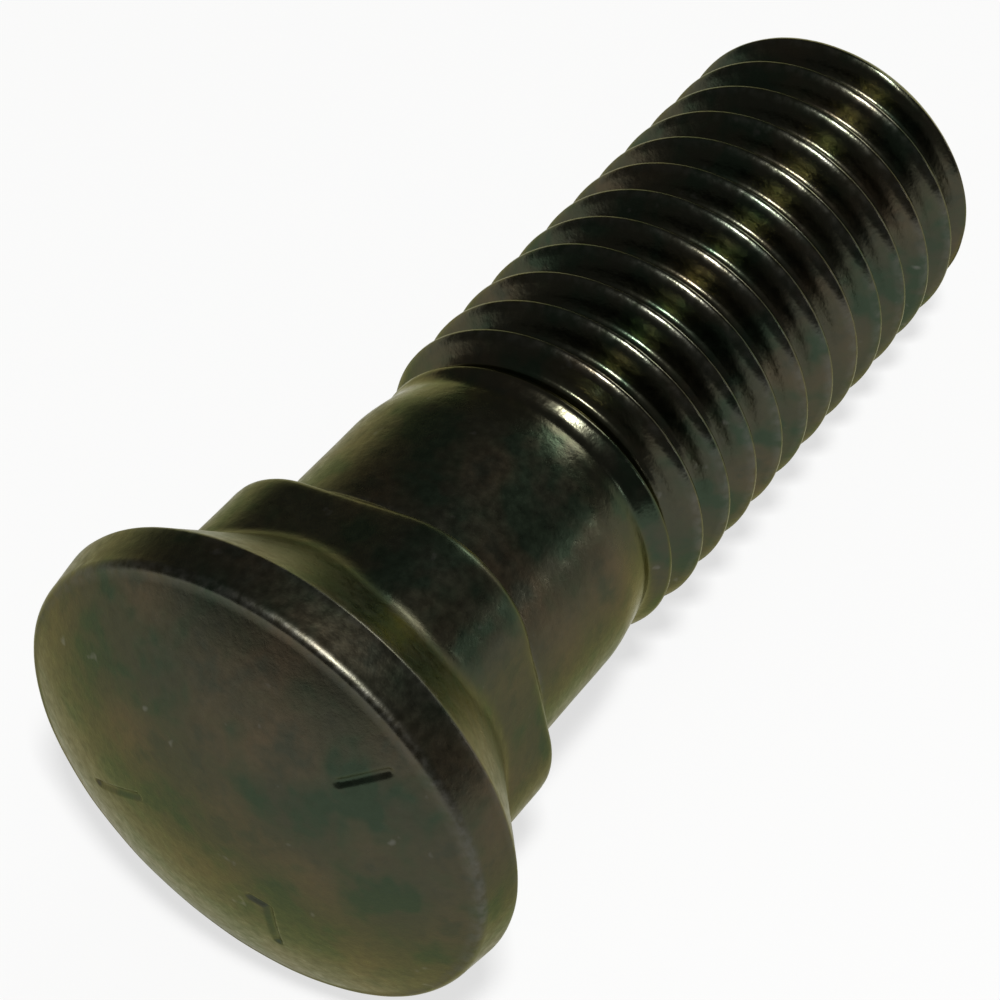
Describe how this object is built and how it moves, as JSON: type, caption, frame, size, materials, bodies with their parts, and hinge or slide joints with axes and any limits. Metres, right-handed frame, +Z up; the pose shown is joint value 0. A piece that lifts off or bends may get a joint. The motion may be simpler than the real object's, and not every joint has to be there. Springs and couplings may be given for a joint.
{
  "type": "plow bolt",
  "caption": "Plow bolt with a domed round head, a short countersink cone, a square neck with rounded corners, a plain shank and a coarse helical thread.",
  "frame": {"origin": "on the surface that the bolt lies on, under the middle of its bounding box", "axes": "+X from the head towards the threaded end, level; +Z up; the bolt's own axis dips 5.03 degrees below +X towards the thread, because the bolt lies on its head's rim and its last full thread crest"},
  "size_m": [0.0518, 0.0236, 0.0236],
  "materials": {
    "blackened_steel": "black oxide with an oily satin sheen, worn brighter on edges and thread crests"
  },
  "bodies": {
    "root": {"plow_bolt": "blackened_steel"}
  },
  "joints": []
}
